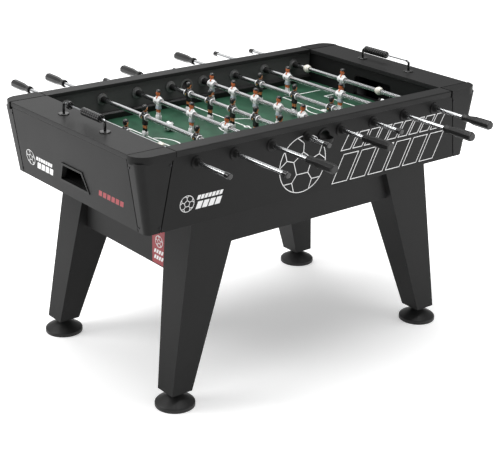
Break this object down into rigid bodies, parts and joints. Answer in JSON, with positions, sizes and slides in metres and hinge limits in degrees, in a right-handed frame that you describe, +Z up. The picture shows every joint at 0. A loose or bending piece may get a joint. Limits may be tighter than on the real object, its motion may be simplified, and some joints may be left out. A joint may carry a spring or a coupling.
{
  "type": "foosball table",
  "caption": "Free-standing table football game: turning and sliding rods carry two teams of figures over a green field in a black cabinet on splayed legs with levelling feet and score counters",
  "frame": {"origin": "on the floor, under the centre of the table's bounding box", "axes": "+X along the field from the left goal to the right goal, +Y across the table from the front long side to the back, +Z up"},
  "size_m": [1.499, 1.471, 0.9585],
  "materials": {
    "cabinet_laminate": "charcoal black satin laminate on board, fine grain",
    "inner_board": "dark grey satin laminate on board",
    "cover_plastic": "black moulded plastic, satin",
    "field_print": "green printed board with white lines, satin",
    "chromed_steel": "bright chrome plate on steel",
    "screw_steel": "dark plated steel",
    "bead_plastic": "black glossy plastic",
    "ball_plastic": "white hard plastic",
    "foot_plastic": "black moulded plastic, satin",
    "grip_plastic": "black moulded plastic, semi-gloss",
    "dark_team": "painted plastic, black kit with white sleeves",
    "light_team": "painted plastic, white kit"
  },
  "bodies": {
    "cabinet": {"side_panel_back": "cabinet_laminate", "side_panel_front": "cabinet_laminate", "end_panels": "cabinet_laminate", "inner_walls": "inner_board", "side_rails": "cabinet_laminate", "end_decks": "cabinet_laminate", "corner_covers": "cover_plastic", "playfield": "field_print", "field_edging": "cover_plastic", "goal_boxes": "cover_plastic", "ball_ports": "cover_plastic", "bearings": "cover_plastic", "aprons": "cabinet_laminate", "base_board": "inner_board", "screws": "screw_steel", "score_rails": "chromed_steel", "leg_left_back": "cabinet_laminate", "leg_left_front": "cabinet_laminate", "leg_right_back": "cabinet_laminate", "leg_right_front": "cabinet_laminate"},
    "sleeves_1": {"bushes_1": "cover_plastic"},
    "rod_set_1": {"rod_1": "chromed_steel", "players_1": "dark_team", "grip_1": "grip_plastic"},
    "sleeves_2": {"bushes_2": "cover_plastic"},
    "rod_set_2": {"rod_2": "chromed_steel", "players_2": "dark_team", "grip_2": "grip_plastic"},
    "sleeves_3": {"bushes_3": "cover_plastic"},
    "rod_set_3": {"rod_3": "chromed_steel", "players_3": "light_team", "grip_3": "grip_plastic"},
    "sleeves_4": {"bushes_4": "cover_plastic"},
    "rod_set_4": {"rod_4": "chromed_steel", "players_4": "dark_team", "grip_4": "grip_plastic"},
    "sleeves_5": {"bushes_5": "cover_plastic"},
    "rod_set_5": {"rod_5": "chromed_steel", "players_5": "light_team", "grip_5": "grip_plastic"},
    "sleeves_6": {"bushes_6": "cover_plastic"},
    "rod_set_6": {"rod_6": "chromed_steel", "players_6": "dark_team", "grip_6": "grip_plastic"},
    "sleeves_7": {"bushes_7": "cover_plastic"},
    "rod_set_7": {"rod_7": "chromed_steel", "players_7": "light_team", "grip_7": "grip_plastic"},
    "sleeves_8": {"bushes_8": "cover_plastic"},
    "rod_set_8": {"rod_8": "chromed_steel", "players_8": "light_team", "grip_8": "grip_plastic"},
    "foot_left_back": {"foot_left_back": "foot_plastic"},
    "foot_left_front": {"foot_left_front": "foot_plastic"},
    "foot_right_back": {"foot_right_back": "foot_plastic"},
    "foot_right_front": {"foot_right_front": "foot_plastic"},
    "score_bead_left_run": {"score_bead_left": "bead_plastic"},
    "score_beads_left_run": {"score_beads_left": "bead_plastic"},
    "score_beads_right_run": {"score_beads_right": "bead_plastic"},
    "ball_free": {"ball": "ball_plastic"}
  },
  "joints": [
    {"name": "rod_spin_1", "type": "hinge", "parent": "cabinet", "child": "sleeves_1", "pos_m": [-0.525, 0, 0.8545], "axis": [0, 1, 0], "continuous": true},
    {"name": "rod_push_1", "type": "slide", "parent": "sleeves_1", "child": "rod_set_1", "axis": [0, 1, 0], "range_m": [-0.095, 0.125]},
    {"name": "rod_spin_2", "type": "hinge", "parent": "cabinet", "child": "sleeves_2", "pos_m": [-0.375, 0, 0.8545], "axis": [0, 1, 0], "continuous": true},
    {"name": "rod_push_2", "type": "slide", "parent": "sleeves_2", "child": "rod_set_2", "axis": [0, 1, 0], "range_m": [-0.103, 0.217]},
    {"name": "rod_spin_3", "type": "hinge", "parent": "cabinet", "child": "sleeves_3", "pos_m": [-0.225, 0, 0.8545], "axis": [0, 1, 0], "continuous": true},
    {"name": "rod_push_3", "type": "slide", "parent": "sleeves_3", "child": "rod_set_3", "axis": [0, 1, 0], "range_m": [-0.127, 0.073]},
    {"name": "rod_spin_4", "type": "hinge", "parent": "cabinet", "child": "sleeves_4", "pos_m": [-0.075, 0, 0.8545], "axis": [0, 1, 0], "continuous": true},
    {"name": "rod_push_4", "type": "slide", "parent": "sleeves_4", "child": "rod_set_4", "axis": [0, 1, 0], "range_m": [-0.045, 0.067]},
    {"name": "rod_spin_5", "type": "hinge", "parent": "cabinet", "child": "sleeves_5", "pos_m": [0.075, 0, 0.8545], "axis": [0, 1, 0], "continuous": true},
    {"name": "rod_push_5", "type": "slide", "parent": "sleeves_5", "child": "rod_set_5", "axis": [0, 1, 0], "range_m": [-0.102, 0.01]},
    {"name": "rod_spin_6", "type": "hinge", "parent": "cabinet", "child": "sleeves_6", "pos_m": [0.225, 0, 0.8545], "axis": [0, 1, 0], "continuous": true},
    {"name": "rod_push_6", "type": "slide", "parent": "sleeves_6", "child": "rod_set_6", "axis": [0, 1, 0], "range_m": [-0.105, 0.095]},
    {"name": "rod_spin_7", "type": "hinge", "parent": "cabinet", "child": "sleeves_7", "pos_m": [0.375, 0, 0.8545], "axis": [0, 1, 0], "continuous": true},
    {"name": "rod_push_7", "type": "slide", "parent": "sleeves_7", "child": "rod_set_7", "axis": [0, 1, 0], "range_m": [-0.231, 0.089]},
    {"name": "rod_spin_8", "type": "hinge", "parent": "cabinet", "child": "sleeves_8", "pos_m": [0.525, 0, 0.8545], "axis": [0, 1, 0], "continuous": true},
    {"name": "rod_push_8", "type": "slide", "parent": "sleeves_8", "child": "rod_set_8", "axis": [0, 1, 0], "range_m": [-0.185, 0.035]},
    {"name": "foot_left_back_level", "type": "slide", "parent": "cabinet", "child": "foot_left_back", "axis": [0, 0, -1], "range_m": [0, 0.012]},
    {"name": "foot_left_front_level", "type": "slide", "parent": "cabinet", "child": "foot_left_front", "axis": [0, 0, -1], "range_m": [0, 0.012]},
    {"name": "foot_right_back_level", "type": "slide", "parent": "cabinet", "child": "foot_right_back", "axis": [0, 0, -1], "range_m": [0, 0.012]},
    {"name": "foot_right_front_level", "type": "slide", "parent": "cabinet", "child": "foot_right_front", "axis": [0, 0, -1], "range_m": [0, 0.012]},
    {"name": "score_bead_left_slide", "type": "slide", "parent": "cabinet", "child": "score_bead_left_run", "axis": [0, 1, 0], "range_m": [-0.076, 0.0195]},
    {"name": "score_beads_left_slide", "type": "slide", "parent": "cabinet", "child": "score_beads_left_run", "axis": [0, 1, 0], "range_m": [-0.0075, 0.076]},
    {"name": "score_beads_right_slide", "type": "slide", "parent": "cabinet", "child": "score_beads_right_run", "axis": [0, 1, 0], "range_m": [-0.104, 0]},
    {"name": "ball_lift", "type": "slide", "parent": "cabinet", "child": "ball_free", "axis": [0, 0, 1], "range_m": [0, 0.2]}
  ]
}
